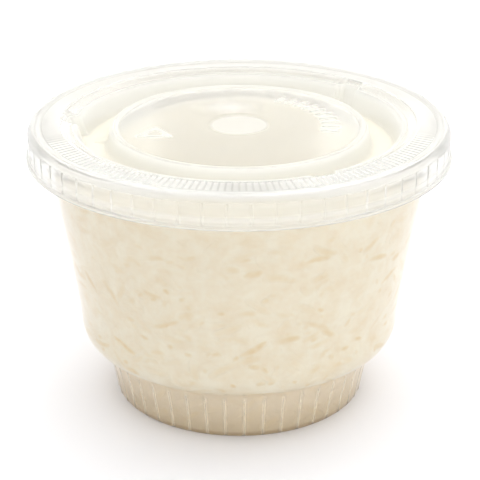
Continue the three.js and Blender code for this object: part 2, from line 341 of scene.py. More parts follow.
# ---------------- finishes
@dataclass(frozen=True)
class FormedPlastic:
    """Thermoformed sheet: glossy on both sides, with a little haze inside the sheet."""

    name: str
    tint: str
    thin_milk: str
    thick_milk: str
    passed_light: str
    ior: float
    roughness: float
    ripple_mm: float
    ripple_depth_mm: float
    ripple_strength: float = 0.5
    milk_let_through: float = 0.5

    def material(self) -> Material:
        """Builds the node material of the sheet: clear, more scattering where its milkiness is higher.

        Returns:
            The material, which dims the light of lamps only by the colour of what passes through.
        """
        material, tree = new_material(self.name)
        place = add_node(tree, "ShaderNodeTexCoord").outputs["Object"]
        ripple = add_node(tree, "ShaderNodeTexNoise", {
            "Vector": place, "Scale": 1 / (self.ripple_mm * MM), "Detail": 1.0, "Roughness": 0.4})
        bump = add_node(tree, "ShaderNodeBump", {
            "Strength": self.ripple_strength, "Distance": self.ripple_depth_mm * MM,
            "Height": ripple.outputs["Fac"]})
        clear = add_node(tree, "ShaderNodeBsdfPrincipled", {
            "Base Color": linear(self.tint), "Roughness": self.roughness, "IOR": self.ior,
            "Transmission Weight": 1.0, "Normal": bump.outputs["Normal"]})
        share = add_node(tree, "ShaderNodeAttribute", {"attribute_name": MILK}).outputs["Fac"]
        white: Shade = linear(self.thin_milk)
        if self.thick_milk != self.thin_milk:
            white = add_node(tree, "ShaderNodeMix", {
                "data_type": "RGBA", 0: share, 6: white, 7: linear(self.thick_milk)}).outputs[2]
        back = add_node(tree, "ShaderNodeBsdfDiffuse", {"Color": white})
        through = add_node(tree, "ShaderNodeBsdfTranslucent", {"Color": white})
        milky = add_node(tree, "ShaderNodeMixShader", {
            0: self.milk_let_through, 1: back.outputs[0], 2: through.outputs[0]})
        sheet = add_node(tree, "ShaderNodeMixShader", {0: share, 1: clear.outputs[0], 2: milky.outputs[0]})
        passed = add_node(tree, "ShaderNodeMix", {
            "data_type": "RGBA", 0: share, 6: linear(self.passed_light), 7: WHITE})
        lamp = add_node(tree, "ShaderNodeBsdfTransparent", {"Color": passed.outputs[2]})
        rays = add_node(tree, "ShaderNodeLightPath")
        shown = add_node(tree, "ShaderNodeMixShader", {
            0: rays.outputs["Is Shadow Ray"], 1: sheet.outputs[0], 2: lamp.outputs[0]})
        add_node(tree, "ShaderNodeOutputMaterial", {"Surface": shown.outputs[0]})
        return material


# Clear PET, thermoformed: bright, hard gloss and hardly any haze; the ribs of the foot catch light.
CLEAR_CUP = FormedPlastic(
    name="clear_pet_thermoformed", tint="FFFEFC", thin_milk="F4F1E8", thick_milk="F4F1E8",
    passed_light="FEFEFD", ior=1.57, roughness=0.03, ripple_mm=9.0, ripple_depth_mm=0.03,
)
# Milky polypropylene, thermoformed: softer gloss, and the sheet itself scatters white.
MILKY_LID = FormedPlastic(
    name="milky_polypropylene_thermoformed", tint="FDFCF9", thin_milk="D9D8D4", thick_milk="FCFCF9",
    passed_light="CDCCC6", ior=1.49, roughness=0.1, ripple_mm=7.0, ripple_depth_mm=0.006,
)


@dataclass(frozen=True)
class SetCream:
    """Milk cooked with rice until it sets: soft and bright, with starchy patches and a foot darkened as
    painted shade.
    """

    light: str = "F6F0DF"
    deep: str = "F1E6CF"
    deep_range: Span = (0.52, 0.88)
    patch_mm: float = 4.0
    curd_mm: float = 1.2
    curd_share: float = 0.35
    # painted shade in the foot, under the shoulder's overhang: from a slightly wavering line down, darkest
    # at the very bottom
    line_mm: float = 13.35
    line_edge_mm: Span = (0.62, 0.48)
    line_waver_mm: float = 0.8
    foot_shade: str = "EEE1CA"
    bottom: str = "D8C7A8"
    bottom_mm: float = 8.0
    # painted contact shadow: the darkest tone, at the very bottom of the foot
    contact_shade: str = "C2AB86"
    contact_shade_mm: float = 1.4
    ior: float = 1.40
    roughness: float = 0.42
    gloss: float = 0.25

    def colour(self, tree: NodeTree) -> NodeSocket:
        """Adds the mottled colour of the cream, and the painted shade of its foot, to a tree.

        Args:
            tree: The node tree of the material.

        Returns:
            The colour output.
        """
        place = add_node(tree, "ShaderNodeTexCoord").outputs["Object"]
        height = add_node(tree, "ShaderNodeSeparateXYZ", {0: place}).outputs["Z"]
        patches, curds = (
            add_node(tree, "ShaderNodeTexNoise", {
                "Vector": place, "Scale": 1 / (size_mm * MM), "Detail": detail, "Roughness": roughness,
            }).outputs["Fac"]
            for size_mm, detail, roughness in ((self.patch_mm, 3.0, 0.6), (self.curd_mm, 2.0, 0.5))
        )
        mottled, level = (
            add_node(tree, "ShaderNodeMath", {
                "operation": "MULTIPLY_ADD", 0: value, 1: factor, 2: base}).outputs[0]
            for value, factor, base in (
                (curds, self.curd_share, patches), (patches, self.line_waver_mm * MM, height))
        )
        in_deep, in_foot, rise, in_contact_shade = (
            add_node(tree, "ShaderNodeMapRange", {
                "Value": value, "From Min": low, "From Max": high}).outputs[0]
            for value, low, high in (
                (mottled, *self.deep_range),
                (level, *((self.line_mm + edge) * MM for edge in self.line_edge_mm)),
                (height, 0.0, self.bottom_mm * MM),
                (height, self.contact_shade_mm * MM, 0.5 * self.contact_shade_mm * MM),
            )
        )
        body = add_node(tree, "ShaderNodeMix", {
            "data_type": "RGBA", 0: in_deep, 6: linear(self.light), 7: linear(self.deep)})
        # painted shade: the foot darkens towards the bottom, most of all at the very bottom
        foot = add_node(tree, "ShaderNodeMix", {
            "data_type": "RGBA", 0: rise, 6: linear(self.bottom), 7: linear(self.foot_shade)})
        low_part = add_node(tree, "ShaderNodeMix", {
            "data_type": "RGBA", 0: in_contact_shade, 6: foot.outputs[2], 7: linear(self.contact_shade)})
        return add_node(tree, "ShaderNodeMix", {
            "data_type": "RGBA", 0: in_foot, 6: body.outputs[2], 7: low_part.outputs[2]}).outputs[2]

    def material(self) -> Material:
        """Builds the node material of the cream."""
        return soft_material("set_cream", self.colour, self.roughness, self.ior, self.gloss)


@dataclass(frozen=True)
class CookedRice:
    """Long-grain rice cooked soft: a little darker and warmer than the cream that clings to it."""

    cream: SetCream
    grain: str = "E6D1A4"
    veil_mm: float = 1.6
    veil_range: Span = (0.3, 0.6)
    least_shown: float = 0.55
    ior: float = 1.45
    roughness: float = 0.4
    gloss: float = 0.25

    def colour(self, tree: NodeTree) -> NodeSocket:
        """Adds the colour of the grains, which fades into the cream at their edges.

        Args:
            tree: The node tree of the material.

        Returns:
            The colour output.
        """
        place = add_node(tree, "ShaderNodeTexCoord").outputs["Object"]
        veil = add_node(tree, "ShaderNodeTexNoise", {
            "Vector": place, "Scale": 1 / (self.veil_mm * MM), "Detail": 2.0, "Roughness": 0.6})
        thin = add_node(tree, "ShaderNodeMapRange", {
            "Value": veil.outputs["Fac"], "From Min": self.veil_range[0], "From Max": self.veil_range[1],
            "To Min": self.least_shown, "To Max": 1.0})
        bare = add_node(tree, "ShaderNodeAttribute", {"attribute_name": BARE})
        shown = add_node(tree, "ShaderNodeMath", {
            "operation": "MULTIPLY", 0: bare.outputs["Fac"], 1: thin.outputs[0]})
        # grains fade into the cream's colour, including the painted shade of the foot
        return add_node(tree, "ShaderNodeMix", {
            "data_type": "RGBA", 0: shown.outputs[0], 6: self.cream.colour(tree),
            7: linear(self.grain)}).outputs[2]

    def material(self) -> Material:
        """Builds the node material of the grains."""
        return soft_material("cooked_rice", self.colour, self.roughness, self.ior, self.gloss)


@dataclass(frozen=True)
class WhiteSweep:
    """Matt white studio paper: it spreads light evenly and mirrors nothing."""

    shade: str = "FAFAFD"
    roughness: float = 0.9
    ior: float = 1.5
    gloss: float = 0.0

    def material(self) -> Material:
        """Builds the node material of the floor."""
        return soft_material("white_sweep", lambda _: linear(self.shade), self.roughness, self.ior,
                             self.gloss)


# ---------------- cup
@dataclass
class Cup:
    """The clear cup: ribbed foot, rounded shoulder, tapered wall and rolled rim."""

    rim_radius: float
    height: float
    wall: float = 0.45
    corners: int = 352
    # milkiness
    milk: float = 0.03
    rib_milk: float = 0.25
    ring_milk: float = 0.4
    # base and standing ring
    recess: float = 0.8
    base_middle: float = 12.0
    ring_inner: float = 26.2
    ring_outer: float = 28.5
    # foot
    foot_edge: float = 0.4
    foot_bottom: float = 28.9
    foot_bulge: Point = (0.8, 6.0)
    foot_top: float = 31.2
    foot_height: float = 11.5
    ribs: int = 44
    rib_depth: float = 0.08
    rib_width: float = 0.8
    rib_edge: Span = (0.1, 0.9)
    rib_phase: float = 2.2
    # shoulder and wall
    neck_radius: float = 34.0
    neck_rise: float = 1.75
    neck_inset: Point = (0.6, 0.8)
    bend: Point = (-0.3, 3.4)
    bend_inset: float = 0.4
    shoulder_radius: float = 36.75
    shoulder_top: float = 18.5
    band_swell: float = 0.1
    band_top: float = 21.0
    wall_control: Point = (40.3, 45.4)
    top_radius: float = 43.55
    wall_top: float = 60.0
    # rim: radii of its rounds, from below over the outside to the inside
    rim_low: float = 61.4
    rim_rounds: tuple[float, float, float] = (0.7, 0.8, 0.6)
    rim_inner_centre: float = 1.1
    rim_width: float = 1.9

    @classmethod
    def from_frame(cls) -> "Cup":
        """Takes the rim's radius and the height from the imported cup."""
        _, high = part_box("cup")
        return cls(rim_radius=high.x / MM, height=high.z / MM)

    def foot_curve(self, inset: float, steps: int) -> list[Point]:
        """Profile of the foot from the floor up, moved inwards by an inset."""
        out, height = self.foot_bulge
        return bezier((self.foot_bottom - inset, self.foot_edge), (self.foot_bottom + out - inset, height),
                      (self.foot_top - inset, self.foot_height), steps)

    def shoulder_curve(self, inset: float, steps: int) -> list[Point]:
        """Profile of the shoulder from the foot out to the wall, moved inwards by an inset.

        Args:
            inset: How far inside the outer face the profile lies.
            steps: How many stretches the curve is cut into.

        Returns:
            The points, both ends included.
        """
        (neck_out, neck_up), (out, up) = self.neck_inset, self.bend
        neck = (self.neck_radius - inset * neck_out, self.foot_height + self.neck_rise + inset * neck_up)
        control = (self.shoulder_radius + out - inset, self.foot_height + up + self.bend_inset * inset)
        return bezier(neck, control, (self.shoulder_radius - inset, self.shoulder_top), steps)

    def wall_curve(self, inset: float, steps: int) -> list[Point]:
        """Profile of the tapered wall up to the rim, moved inwards by an inset."""
        radius, height = self.wall_control
        return bezier((self.shoulder_radius + self.band_swell - inset, self.band_top),
                      (radius - inset, height), (self.top_radius - inset, self.wall_top), steps)

    def base_curve(self, inset: float) -> list[Point]:
        """Profile inside the foot from the middle out to the wall: a raised base and a ring round it.

        Args:
            inset: How far inside the outer face the profile lies.

        Returns:
            The points of the profile.
        """
        low, high = 0.5 * inset, self.recess + inset
        edge = self.foot_bottom - self.rib_depth - inset
        return ([(self.base_middle, high)] + beside((self.ring_inner, high), (-1.6, 0), (-0.7, -0.2))
                + beside((self.ring_inner, low), (0, 0.3), (0.5, 0.1))
                + beside((edge, low), (-0.6, 0.1), (-0.1, 0.5)))

    def rim_curve(self) -> list[Point]:
        """Profile of the rolled rim, from the wall's top over the outside to the inside.

        Returns:
            The points of the profile.
        """
        lower, outer, inner = self.rim_rounds
        return (
            beside((self.top_radius, self.rim_low), (0.25, -0.4), (0.8, 0))
            + arc((self.rim_radius - lower, self.rim_low + lower), lower, -90, 0, steps=4)
            + arc((self.rim_radius - outer, self.height - outer), outer, 0, 90, steps=5)
            + arc((self.rim_radius - self.rim_inner_centre, self.height - inner), inner, 90, 180, steps=4)
            + [(self.rim_radius - self.rim_width, self.rim_low + inner)]
        )

    def press(self, row: Row, azimuth: np.ndarray) -> Pressed:
        """Presses the foot's ribs: narrow milky crests, with the wall set in between them.

        Args:
            row: The row of corners.
            azimuth: Where its corners are, in degrees.

        Returns:
            The ribs' relief, or none for another row.
        """
        pressed = Pressed.nothing(azimuth)
        if row.relief is Relief.RIB:
            off = off_nearest(azimuth - FRONT - self.rib_phase, self.ribs)
            near, far = (share * self.rib_width for share in self.rib_edge)
            crest = 1 - smooth_step(near, far, np.radians(off) * self.foot_bottom)
            pressed.out = -self.rib_depth * (1 - crest)
            pressed.milk = self.rib_milk * crest
        return pressed

    def rows(self) -> list[Row]:
        """Rows from the middle of the base, up the outside, over the rim and down the inside.

        Returns:
            The rows, with more corners where the ribs are.
        """
        n, fine = self.corners, 4 * self.corners
        ring = ([(self.base_middle, self.recess)]
                + beside((self.ring_inner, self.recess), (-0.8, 0), (-0.2, -0.25))
                + beside((self.ring_inner, 0.0), (0, 0.1), (0.3, 0)) + [(self.ring_outer - 0.4, 0.0)])
        foot = self.foot_curve(0, steps=8)
        outside = self.shoulder_curve(0, steps=8) + self.wall_curve(0, steps=16) + self.rim_curve()
        inside = (self.base_curve(self.wall) + self.foot_curve(self.wall + self.rib_depth, steps=6)[1:]
                  + self.shoulder_curve(self.wall, steps=6) + self.wall_curve(self.wall, steps=14))
        return (
            [Row(0, self.recess, 1, milk=self.milk)]
            + rows_of(ring, n, self.ring_milk)
            + rows_of([(self.ring_outer, 0.08)], fine, self.ring_milk)
            + rows_of(foot[:-1], fine, self.milk, Relief.RIB)
            + rows_of(foot[-1:], fine, self.milk)
            + rows_of(outside + inside[::-1], n, self.milk)
            + [Row(0, self.recess + self.wall, 1, milk=self.milk)]
        )

    def build(self) -> Object:
        """Builds and dresses the cup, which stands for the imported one.

        Returns:
            The new object.
        """
        piece = turned_piece("clear_cup", self.rows(), self.press)
        piece.data.materials.append(CLEAR_CUP.material())
        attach(piece, "root")
        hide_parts("cup")
        return piece


# ---------------- lid
@dataclass
class Lid:
    """The milky over-cap lid: skirt, top ring, channel and raised middle."""

    radius: float
    top: float
    bottom: float
    sheet: float = 0.5
    corners: int = 384
    # milkiness of the upper side, from the middle out, and of the underside
    spot_milk: float = 0.84
    disc_milk: float = 0.34
    bead_milk: float = 0.7
    disc_wall_milk: float = 0.95
    floor_milk: float = 0.9
    well_milk: float = 0.8
    slope_milk: float = 0.3
    groove_milk: float = 0.55
    knurl_milk: float = 0.4
    crest_milk: float = 0.65
    shoulder_milk: float = 0.34
    skirt_milk: float = 0.33
    band_milk: float = 0.6
    flange_milk: float = 0.45
    under_milk: float = 0.16
    under_well_milk: float = 0.38
    # raised middle
    disc: float = 63.2
    disc_radius: float = 28.9
    dimple: float = 0.03
    dimple_radius: float = 6.5
    dimple_middle: float = 3.0
    bead_radius: float = 28.0
    bead_height: float = 0.42
    coarse_step: float = 0.6
    fine_step: float = 0.26
    marked: Span = (15.8, 23.4)
    unmarked: Span = (23.6, 26.9)
    # channel round it, and the notches in its outer wall
    floor: float = 59.0
    floor_inner: float = 29.9
    floor_middle: Span = (31.2, 32.8)
    floor_outer: float = 34.3
    ledge: float = 63.75
    ledge_radius: float = 36.3
    notch_azimuths: tuple[float, ...] = (45.0, 177.0, 298.0)
    notch_width: float = 5.4
    notch_edge: Span = (-0.8, 0.4)
    notch_depth: float = 2.2
    notch_glint: float = 0.8
    glint_above_floor: float = 0.3
    # knurled face and crest
    knurl_inner: float = 39.8
    knurl_outer: float = 43.85
    knurl_drop: float = 0.2
    knurl_fall: float = 0.067
    knurls: int = 192
    knurl_height: float = 0.016
    knurl_edge: Span = (0.06, 0.24)
    knurl_centre: float = FRONT + 2.0
    knurl_half_turn: float = 76.0
    knurl_fade: float = 8.0
    # painted glare: how faint the knurls are made right at the front, and over which turn from the front
    # they regain full strength
    glare_share: float = 0.4
    glare_turns: Span = (4.0, 18.0)
    crest_radius: float = 45.4
    # skirt: heights of its clear panels, of the milkier band below them and of the flange's start
    skirt_radius: float = 47.0
    skirt_top: float = 62.85
    skirt_rows: Span = (61.5, 60.3)
    band_rows: Span = (59.6, 59.1)
    flange_row: float = 58.6
    flange_height: float = 0.8
    panels: int = 60
    groove_width: float = 0.7
    groove_edge: float = 0.1
    groove_depth: float = 0.18
    # rows of the underside
    under_skirt: float = 60.0
    under_floor: float = 32.4
    under_disc: Span = (20.0, 9.0)
    # marks on the middle, and beside them a milky patch that is a painted reflection
    mark_height: float = 0.07
    mark_milk: float = 0.75
    triangle: Point = (-18.5, -6.0)
    triangle_inner: float = 2.0
    triangle_line: float = 0.65
    line_edge: Span = (0.55, 1.15)
    ticks: int = 10
    tick_radius: float = 20.5
    tick_turns: Span = (-12.0, 62.0)
    tick_length: float = 4.4
    tick_width: float = 1.5
    tick_edge: Span = (0.25, 0.6)
    patch: Point = (-2.3, 12.2)
    patch_size: Point = (6.6, 4.9)
    patch_edge: float = 1.5
    reflection_milk: float = 0.6

    @classmethod
    def from_frame(cls) -> "Lid":
        """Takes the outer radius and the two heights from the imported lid."""
        low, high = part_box("lid")
        return cls(radius=high.x / MM, top=high.z / MM, bottom=low.z / MM)

    def marks(self, x: np.ndarray, y: np.ndarray) -> np.ndarray:
        """Share of its full height that the triangle or a tick has at each place on the middle.

        Args:
            x: Distance to the right of the axis.
            y: Distance behind the axis.

        Returns:
            A share from 0 to 1 for each place.
        """
        to_side = [
            math.cos(turn) * (x - self.triangle[0]) + math.sin(turn) * (y - self.triangle[1])
            for turn in (math.radians(30 + 120 * side) for side in range(3))
        ]
        sharpness = 3 * self.triangle_line  # the higher, the less the triangle's corners are rounded
        reach = np.logaddexp.reduce([sharpness * side for side in to_side]) / sharpness
        off_line = np.abs(reach - self.triangle_inner) / self.triangle_line
        shape = 1 - smooth_step(*self.line_edge, off_line)
        near, far = (share * self.tick_width for share in self.tick_edge)
        for turn in np.radians(np.linspace(*self.tick_turns, self.ticks)):
            out = x * math.cos(turn) + y * math.sin(turn) - self.tick_radius
            across = y * math.cos(turn) - x * math.sin(turn)
            off = np.hypot(np.maximum(np.abs(out) - self.tick_length / 2 + self.tick_width / 2, 0), across)
            shape = np.maximum(shape, 1 - smooth_step(near, far, off))
        return shape

    def press_marks(self, row: Row, azimuth: np.ndarray) -> Pressed:
        """Raises the triangle and the ticks, and lays the milky patch, a painted reflection.

        Args:
            row: The row of corners.
            azimuth: Where its corners are, in degrees.

        Returns:
            The relief at each corner.
        """
        pressed, turn = Pressed.nothing(azimuth), np.radians(azimuth)
        x, y = row.radius * np.cos(turn), row.radius * np.sin(turn)
        shape = self.marks(x, y)
        # painted reflection: a soft milky patch where a bright spot of the room would mirror
        patch = np.hypot((x - self.patch[0]) / self.patch_size[0], (y - self.patch[1]) / self.patch_size[1])
        pressed.up = self.mark_height * shape
        pressed.milk = (self.mark_milk * shape
                        + self.reflection_milk * (1 - smooth_step(0.0, self.patch_edge, patch)))
        return pressed

    def press_knurls(self, _: Row, azimuth: np.ndarray) -> Pressed:
        """Presses the grooves between the knurls, gone at the rear; right at the front they are made
        fainter as painted glare.

        Args:
            azimuth: Where its corners are, in degrees.

        Returns:
            The relief at each corner.
        """
        pressed = Pressed.nothing(azimuth)
        off = off_nearest(azimuth, self.knurls) / (360.0 / self.knurls)
        land = smooth_step(*self.knurl_edge, off)
        from_front = arc_distance(azimuth, self.knurl_centre)
        present = 1 - smooth_step(self.knurl_half_turn - self.knurl_fade, self.knurl_half_turn, from_front)
        # painted glare: right at the front the knurls are made fainter in relief and milkiness, as if
        # washed out by a highlight
        rise = smooth_step(*self.glare_turns, from_front)
        present = present * (self.glare_share + (1 - self.glare_share) * rise)
        pressed.up = self.knurl_height * (land - 1) * present
        # the lands are milkier, partly as whitened stretched sheet and partly as a painted highlight on
        # their faces
        pressed.milk = self.knurl_milk * land * present
        return pressed

    def press_panels(self, _: Row, azimuth: np.ndarray) -> Pressed:
        """Presses the skirt into flat panels with a groove between each two.

        Args:
            azimuth: Where its corners are, in degrees.

        Returns:
            The relief at each corner.
        """
        pressed, pitch = Pressed.nothing(azimuth), 360.0 / self.panels
        off = off_nearest(azimuth, self.panels)
        flat = self.skirt_radius * (math.cos(math.radians(pitch / 2)) / np.cos(np.radians(off)) - 1)
        to_groove = np.radians(pitch / 2 - off) * self.skirt_radius
        groove = 1 - smooth_step(self.groove_edge, self.groove_width / 2, to_groove)
        pressed.out = flat - self.groove_depth * groove
        return pressed

    def press_notches(self, row: Row, azimuth: np.ndarray) -> Pressed:
        """Presses the notches outwards, fading towards the knurled face, with a glint at their edges.

        Args:
            row: The row of corners.
            azimuth: Where its corners are, in degrees.

        Returns:
            The relief at each corner.
        """
        pressed, near = Pressed.nothing(azimuth), np.zeros(azimuth.shape)
        inner, outer = (self.notch_width / 2 + edge for edge in self.notch_edge)
        for centre in self.notch_azimuths:
            off = np.radians(arc_distance(azimuth, centre)) * self.ledge_radius
            near = np.maximum(near, 1 - smooth_step(inner, outer, off))
        reach = (self.knurl_inner - row.radius) / (self.knurl_inner - self.ledge_radius)
        pressed.out = near * self.notch_depth * min(max(reach, 0.0), 1.0)
        if row.height > self.floor + self.glint_above_floor:
            pressed.milk = self.notch_glint * near * (1 - near)
        return pressed

    def press(self, row: Row, azimuth: np.ndarray) -> Pressed:
        """Presses the kind of relief that a row has, at each azimuth in degrees."""
        kinds = {Relief.MARKS: self.press_marks, Relief.KNURL: self.press_knurls,
                 Relief.PANEL: self.press_panels, Relief.NOTCH: self.press_notches}
        return kinds.get(row.relief, no_relief)(row, azimuth)

    def knurled(self, radius: float) -> float:
        """Height of the knurled face, which falls outwards from the brow."""
        return self.top - self.knurl_drop - self.knurl_fall * (radius - self.knurl_inner)

    def skirt_at(self, *heights: float) -> list[Point]:
        """Points of the skirt's outer face at some heights."""
        return [(self.skirt_radius, height) for height in heights]

    def middle_rows(self) -> list[Row]:
        """Rows of the raised middle, close together where the marks are.

        Returns:
            The rows from the axis out to the bead.
        """
        n, dish = self.corners, self.disc - self.dimple
        steps = ((self.dimple_radius + 1.9, self.marked[0], self.coarse_step),
                 (*self.marked, self.fine_step), (*self.unmarked, self.coarse_step))
        radii = [radius for step in steps for radius in np.arange(*step).tolist()]
        return (
            [Row(0, dish, 1, milk=self.spot_milk)]
            + rows_of([(self.dimple_middle, dish), (self.dimple_radius - 0.6, dish)], n, self.spot_milk)
            + rows_of(beside((self.dimple_radius, dish), (0.4, 0.02))
                      + beside((self.dimple_radius, self.disc), (1.0, -0.02), (1.6, 0)), n, self.disc_milk)
            + rows_of([(radius, self.disc) for radius in radii], 2 * n, self.disc_milk, Relief.MARKS)
        )

    def channel_rows(self) -> list[Row]:
        """Rows of the bead, the channel and the slope up to the knurled face.

        Returns:
            The rows from the bead out to the brow.
        """
        n, brow = self.corners, self.knurled(self.knurl_inner)
        bead = (beside((self.bead_radius, self.disc), (-0.95, 0), (-0.55, 0.15))
                + arc((self.bead_radius, self.disc + 0.1), self.bead_height - 0.1, 150, 30, steps=5))
        disc_wall = (
            beside((self.disc_radius, self.disc), (-0.4, 0), (-0.1, -0.5), (0.05, -0.9), (0.35, -2.2))
            + [(self.disc_radius + 0.65, self.floor + 0.6)]
        )
        floor = (beside((self.floor_inner, self.floor), (0, 0.2), (0.5, 0))
                 + [(radius, self.floor) for radius in (*self.floor_middle, self.floor_outer - 0.3)])
        ledge = (self.ledge_radius, self.ledge)
        well = (beside((self.floor_outer, self.floor), (0.1, 0.15), (0.35, 0.6), (0.8, 1.9))
                + beside(ledge, (-0.65, -1.1), (-0.35, -0.3), (0, 0), (0.4, 0.06)))
        slope = (beside(ledge, (0.9, 0.04), (1.6, 0.2))
                 + beside((self.knurl_inner, brow), (-1.2, -0.35), (-0.5, -0.06)))
        return (
            rows_of(bead, n, self.bead_milk)
            + rows_of(disc_wall, n, self.disc_wall_milk)
            + rows_of(floor, n, self.floor_milk, Relief.NOTCH)
            + rows_of(well, n, self.well_milk, Relief.NOTCH)
            + rows_of(slope, n, self.slope_milk, Relief.NOTCH)
        )

    def ring_rows(self) -> list[Row]:
        """Rows of the knurled face, the crest and the skirt down to the flange.

        Returns:
            The rows from the brow out and down.
        """
        n, fine = self.corners, 5 * self.corners
        low, low_z = self.bottom + self.flange_height, self.knurled(self.knurl_outer)
        radii = np.linspace(self.knurl_inner + 0.25, self.knurl_outer - 0.2, 5)
        face = [(radius, self.knurled(radius)) for radius in radii]
        crest = ([(self.knurl_outer + 0.3, low_z)]
                 + beside((self.crest_radius, self.top), (-0.9, -0.25), (-0.45, -0.06), (0, 0)))
        shoulder = bezier((self.crest_radius + 0.3, self.top - 0.04),
                          (self.skirt_radius - 0.65, self.top - 0.2),
                          (self.skirt_radius, self.skirt_top + 0.2), steps=8)
        clear = self.skirt_at(self.skirt_top - 0.1, *self.skirt_rows)
        flange = beside((self.radius, low), (-0.15, -0.05), (0, -0.25)) + [(self.radius, self.bottom + 0.1)]
        return (
            rows_of([(self.knurl_inner, self.knurled(self.knurl_inner))], fine, self.slope_milk)
            + rows_of(face, fine, self.groove_milk, Relief.KNURL)
            + rows_of([(self.knurl_outer, low_z)], fine, self.knurl_milk)
            + rows_of(crest, n, self.crest_milk)
            + rows_of(shoulder, n, self.shoulder_milk)
            + rows_of(beside((self.skirt_radius, self.skirt_top), (-0.12, 0.02)), fine, self.skirt_milk)
            + rows_of(clear, fine, self.skirt_milk, Relief.PANEL)
            + rows_of(self.skirt_at(*self.band_rows), fine, self.band_milk, Relief.PANEL)
            + rows_of(self.skirt_at(self.flange_row, low + 0.15), fine, self.flange_milk, Relief.PANEL)
            + rows_of([(self.skirt_radius + 0.1, low)], fine, self.flange_milk)
            + rows_of(flange, n, self.flange_milk)
        )

    def under_rows(self) -> list[Row]:
        """Rows of the underside, from the bottom of the skirt to its middle.

        Returns:
            The rows, about a sheet's thickness under those of the upper side.
        """
        n, inside, disc_wall = self.corners, self.skirt_radius - self.sheet, self.disc_radius - self.sheet
        top, floor, ledge = (height - self.sheet for height in (self.top, self.floor, self.ledge))
        disc = self.disc - self.dimple - self.sheet
        brow, low_z = (self.knurled(radius) - self.sheet for radius in (self.knurl_inner, self.knurl_outer))
        ring = (
            [(self.radius - 0.2, self.bottom)]
            + beside((inside, self.bottom), (0.1, 0), (0, 0.1))
            + [(inside, self.under_skirt), (inside, self.skirt_top - 0.1), (inside - 0.35, top - 0.3)]
            + beside((self.crest_radius, top), (0, 0), (-0.5, -0.08))
            + [(self.knurl_outer + 0.3, low_z), (self.knurl_inner + 0.1, brow)]
        )
        well = (
            beside((self.knurl_inner, brow), (-0.4, -0.05), (-0.95, -0.29))
            + beside((self.ledge_radius, ledge), (1.75, 0.17), (0.3, 0), (-0.1, -0.4))
            + beside((self.floor_outer, self.floor), (1.3, 1.7), (0.75, 0.2))
            + beside((self.floor_outer, floor), (0.3, 0.15), (0, 0)) + [(self.under_floor, floor)]
        )
        middle = (
            beside((self.floor_inner, floor), (0, 0), (-0.4, 0.15)) + [(disc_wall + 0.65, self.floor + 0.1)]
            + beside((disc_wall, disc), (0, -0.3), (-0.4, 0))
            + [(radius, disc) for radius in self.under_disc]
        )
        return (rows_of(ring, n, self.under_milk) + rows_of(well, n, self.under_well_milk, Relief.NOTCH)
                + rows_of(middle, n, self.disc_milk) + [Row(0, disc, 1, milk=self.disc_milk)])

    def build(self) -> Object:
        """Builds and dresses the lid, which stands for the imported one.

        Returns:
            The new object.
        """
        rows = self.middle_rows() + self.channel_rows() + self.ring_rows() + self.under_rows()
        piece = turned_piece("milky_lid", rows, self.press)
        piece.data.materials.append(MILKY_LID.material())
        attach(piece, "root")
        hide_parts("lid")
        return piece


# ---------------- pudding
@dataclass
class CreamWall:
    """The side of the cream as a curve that grains can be laid along."""

    points: list[Point]
    radius: np.ndarray = field(init=False)
    height: np.ndarray = field(init=False)
    run: np.ndarray = field(init=False)
    out_r: np.ndarray = field(init=False)
    out_z: np.ndarray = field(init=False)

    def __post_init__(self) -> None:
        """Works out the run along the curve and the outward direction at each point."""
        place = np.array(self.points)
        self.radius, self.height = place[:, 0], place[:, 1]
        self.run = np.concatenate([[0.0], np.cumsum(np.hypot(*np.diff(place, axis=0).T))])
        slope = np.gradient(place, self.run, axis=0)
        slope /= np.linalg.norm(slope, axis=1)[:, None]
        self.out_r, self.out_z = slope[:, 1], -slope[:, 0]

    def at(self, run: np.ndarray, out: np.ndarray) -> tuple[np.ndarray, np.ndarray]:
        """Radius and height of places at a run along the curve and a distance out of it."""
        nr, nz = (np.interp(run, self.run, way) for way in (self.out_r, self.out_z))
        return (np.interp(run, self.run, self.radius) + out * nr,
                np.interp(run, self.run, self.height) + out * nz)


